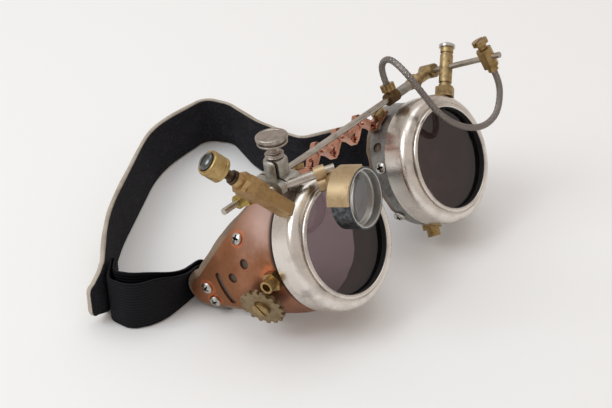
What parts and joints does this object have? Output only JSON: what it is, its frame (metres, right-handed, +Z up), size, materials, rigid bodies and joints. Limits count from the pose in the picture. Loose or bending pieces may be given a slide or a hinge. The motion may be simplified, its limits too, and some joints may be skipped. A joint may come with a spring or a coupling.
{
  "type": "goggles",
  "caption": "Steampunk goggles: two round metal eye cups with smoked lenses, a chain over the nose, brass fittings, a hose, a flip-up loupe and a leather strap.",
  "frame": {"origin": "on the ground under the middle of the goggles as they lie, with the cups leaned back and the strap standing on its edge", "axes": "+X to the wearer's left, along both cups; -Y to the front, the way the lenses face; +Z up from the ground"},
  "size_m": [0.1906, 0.1636, 0.0955],
  "materials": {
    "polished_aluminium": "polished, spun",
    "smoked_glass": "dark smoked tint",
    "black_rubber": "matt",
    "copper_sheet": "heat-coloured copper sheet",
    "zinc_sheet": "dull grey zinc sheet",
    "tan_leather": "suede",
    "bright_screw": "bright zinc plated",
    "brass": "aged brass",
    "dark_brass": "darkened brass",
    "steel_rod": "drawn steel",
    "braided_steel": "braided sleeve",
    "cast_zinc": "grey cast zinc",
    "nickel": "worn nickel plate",
    "dark_steel": "blued steel",
    "clear_glass": "clear lens",
    "copper_chain": "copper plated steel",
    "strap_leather": "tan leather, felt lined",
    "black_elastic": "ribbed elastic webbing"
  },
  "bodies": {
    "goggles": {"chain_link_1": "copper_chain", "chain_link_2": "copper_chain", "chain_link_3": "copper_chain", "chain_link_4": "copper_chain", "chain_link_5": "copper_chain", "chain_link_6": "copper_chain", "chain_link_7": "copper_chain", "chain_tab": "copper_chain", "cross_rod": "steel_rod", "elastic_band": "black_elastic", "end_fitting": "brass", "front_rod": "steel_rod", "gear_screw": "brass", "gear_spacer": "brass", "head_strap": "strap_leather", "hose": "braided_steel", "hose_nut": "brass", "hose_union": "dark_brass", "left_bezel": "polished_aluminium", "left_chain_screw": "brass", "left_cup_liner": "tan_leather", "left_cup_shell": "zinc_sheet", "left_flap_screw": "bright_screw", "left_gasket": "black_rubber", "left_lens": "smoked_glass", "left_nose_screw_lower": "bright_screw", "left_nose_screw_upper": "bright_screw", "left_post": "brass", "left_post_cap": "bright_screw", "left_strap_screw_lower": "bright_screw", "left_strap_screw_upper": "bright_screw", "low_stub": "brass", "right_bezel": "polished_aluminium", "right_chain_screw": "brass", "right_cup_liner": "tan_leather", "right_cup_shell": "copper_sheet", "right_flap_screw": "bright_screw", "right_gasket": "black_rubber", "right_lens": "smoked_glass", "right_strap_screw_lower": "bright_screw", "right_strap_screw_upper": "bright_screw", "rod_saddle": "brass", "rod_sleeve": "steel_rod", "strap_rivet_high": "bright_screw", "strap_rivet_low": "bright_screw", "tee_connector": "brass", "tube_stub": "brass", "valve_body": "brass"},
    "loupe_mount": {"loupe_clamp": "cast_zinc"},
    "thumb_screw": {"thumb_screw": "nickel"},
    "loupe": {"loupe_arm": "steel_rod", "loupe_holder": "brass", "loupe_ring": "dark_steel", "loupe_lens": "clear_glass"},
    "valve": {"valve_stem": "dark_brass", "valve_knob": "brass", "valve_cap": "steel_rod"},
    "end_screw": {"end_screw": "brass"},
    "gear": {"gear": "brass"}
  },
  "joints": [
    {"name": "loupe_flip", "type": "hinge", "parent": "goggles", "child": "loupe_mount", "pos_m": [-0.03563, -0.03564, 0.06645], "axis": [-1, 0, 0], "range_deg": [0, 100]},
    {"name": "loupe_slide", "type": "slide", "parent": "loupe_mount", "child": "loupe", "axis": [0.7412, -0.6143, 0.2704], "range_m": [0, 0.008]},
    {"name": "thumb_screw_turn", "type": "hinge", "parent": "loupe_mount", "child": "thumb_screw", "pos_m": [-0.03418, -0.04032, 0.06794], "axis": [0, 0.1708, 0.9853], "range_deg": [0, 180]},
    {"name": "valve_turn", "type": "hinge", "parent": "goggles", "child": "valve", "pos_m": [-0.0608, -0.03797, 0.08336], "axis": [-0.6157, 0.3952, 0.6817], "range_deg": [0, 270]},
    {"name": "end_screw_turn", "type": "hinge", "parent": "goggles", "child": "end_screw", "pos_m": [0.0846, -0.06337, 0.08939], "axis": [-0.1392, 0.4966, 0.8567], "range_deg": [0, 180]},
    {"name": "gear_spin", "type": "hinge", "parent": "goggles", "child": "gear", "pos_m": [-0.0552, -0.04808, 0.01812], "axis": [-0.926, -0.2792, -0.254], "continuous": true}
  ]
}
